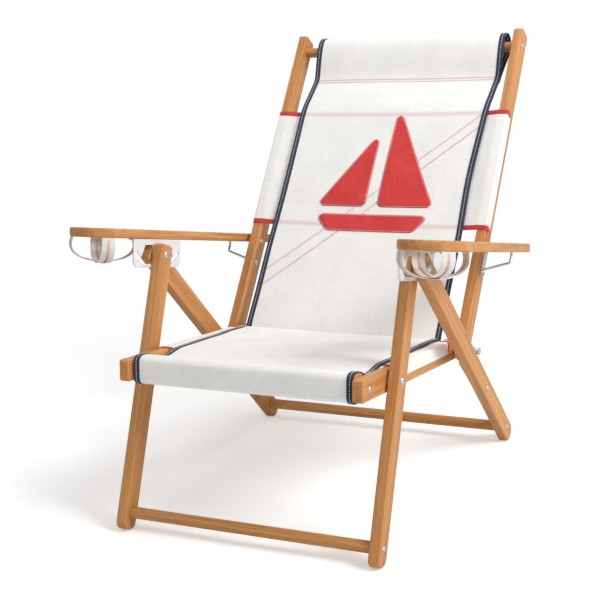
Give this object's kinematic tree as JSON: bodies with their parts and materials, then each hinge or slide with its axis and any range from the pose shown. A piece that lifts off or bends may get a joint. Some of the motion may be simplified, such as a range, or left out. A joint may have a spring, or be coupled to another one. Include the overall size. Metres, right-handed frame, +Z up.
{
  "type": "folding deck chair",
  "caption": "Folding wooden deck chair with a cloth sling seat and back, wide arms with cup holes and webbing holders, and a back that reclines on wire pegs under the arms.",
  "frame": {"origin": "on the floor under the middle of the chair's box", "axes": "+Z up, the chair faces -Y, +X to the right of someone who looks at its front"},
  "size_m": [0.788, 0.9426, 0.8444],
  "materials": {
    "hardwood": "oiled",
    "steel": "zinc plated",
    "painted_plate": "satin light grey",
    "nylon": "matt",
    "sailcloth": "woven",
    "webbing": "woven"
  },
  "bodies": {
    "front_frame": {"front_leg_left": "hardwood", "front_leg_right": "hardwood", "front_stretcher": "hardwood", "front_stretcher_screws": "steel", "seat_pivot_bolts": "steel", "seat_pivot_washers": "nylon", "seat_pivot_nuts": "steel"},
    "rear_frame": {"rear_leg_left": "hardwood", "rear_leg_right": "hardwood", "rear_stretcher": "hardwood", "rear_stretcher_screws": "steel", "stop_plate_left": "steel", "stop_plate_right": "steel", "stop_plate_rivets": "steel"},
    "seat": {"seat_rail_left": "hardwood", "seat_rail_right": "hardwood", "seat_front_bar": "hardwood", "seat_front_bar_screws": "steel", "seat_rear_dowel": "hardwood", "seat_sleeve": "sailcloth", "sling_seat": "sailcloth"},
    "back_pivots": {"back_pivot_bolts": "steel", "back_pivot_washers": "nylon", "back_pivot_spacers": "nylon", "back_pivot_nuts": "steel"},
    "back": {"back_stile_left": "hardwood", "back_stile_right": "hardwood", "top_dowel": "hardwood", "top_dowel_screws": "steel", "wire_bracket_left": "steel", "wire_bracket_right": "steel", "wire_bracket_bolts": "steel", "wire_bracket_nuts": "steel", "back_sleeve": "sailcloth", "sling_back": "sailcloth"},
    "apex_left": {"apex_bolt_left": "steel"},
    "arm_left": {"arm_left": "hardwood", "arm_bracket_left": "painted_plate", "arm_bracket_screws_left": "steel", "cup_strap_outer_left": "webbing", "cup_strap_inner_left": "webbing"},
    "apex_right": {"apex_bolt_right": "steel"},
    "arm_right": {"arm_right": "hardwood", "arm_bracket_right": "painted_plate", "arm_bracket_screws_right": "steel", "cup_strap_outer_right": "webbing", "cup_strap_inner_right": "webbing"}
  },
  "joints": [
    {"name": "seat_fold", "type": "hinge", "parent": "front_frame", "child": "seat", "pos_m": [0, -0.32565, 0.29697], "axis": [-1, 0, 0], "range_deg": [0, 99], "deforming": ["sling_seat", "sling_back"]},
    {"name": "rear_fold", "type": "hinge", "parent": "front_frame", "child": "rear_frame", "pos_m": [0, -0.24264, 0.48168], "axis": [-1, 0, 0], "range_deg": [0, 76.1]},
    {"name": "back_fold", "type": "hinge", "parent": "seat", "child": "back_pivots", "pos_m": [0, 0.01541, 0.25207], "axis": [1, 0, 0], "range_deg": [0, 107.6], "deforming": ["sling_seat", "sling_back"]},
    {"name": "back_recline", "type": "hinge", "parent": "back_pivots", "child": "back", "pos_m": [0, 0.01541, 0.25207], "axis": [-1, 0, 0], "range_deg": [0, 10], "deforming": ["sling_seat", "sling_back"]},
    {"name": "apex_fold_left", "type": "hinge", "parent": "front_frame", "child": "apex_left", "pos_m": [0, -0.24264, 0.48168], "axis": [-1, 0, 0], "range_deg": [0, 84.1]},
    {"name": "arm_tilt_left", "type": "hinge", "parent": "apex_left", "child": "arm_left", "pos_m": [0, -0.24264, 0.48168], "axis": [-1, 0, 0], "range_deg": [0, 2.3]},
    {"name": "apex_fold_right", "type": "hinge", "parent": "front_frame", "child": "apex_right", "pos_m": [0, -0.24264, 0.48168], "axis": [-1, 0, 0], "range_deg": [0, 84.1]},
    {"name": "arm_tilt_right", "type": "hinge", "parent": "apex_right", "child": "arm_right", "pos_m": [0, -0.24264, 0.48168], "axis": [-1, 0, 0], "range_deg": [0, 2.3]}
  ],
  "couplings": [
    {"joint": "rear_fold", "follows": "seat_fold", "ratio": 0.76768},
    {"joint": "back_fold", "follows": "seat_fold", "ratio": 1.0859},
    {"joint": "apex_fold_left", "follows": "seat_fold", "ratio": 0.84849},
    {"joint": "arm_tilt_left", "follows": "back_recline", "ratio": 0.22},
    {"joint": "apex_fold_right", "follows": "seat_fold", "ratio": 0.84849},
    {"joint": "arm_tilt_right", "follows": "back_recline", "ratio": 0.22}
  ]
}
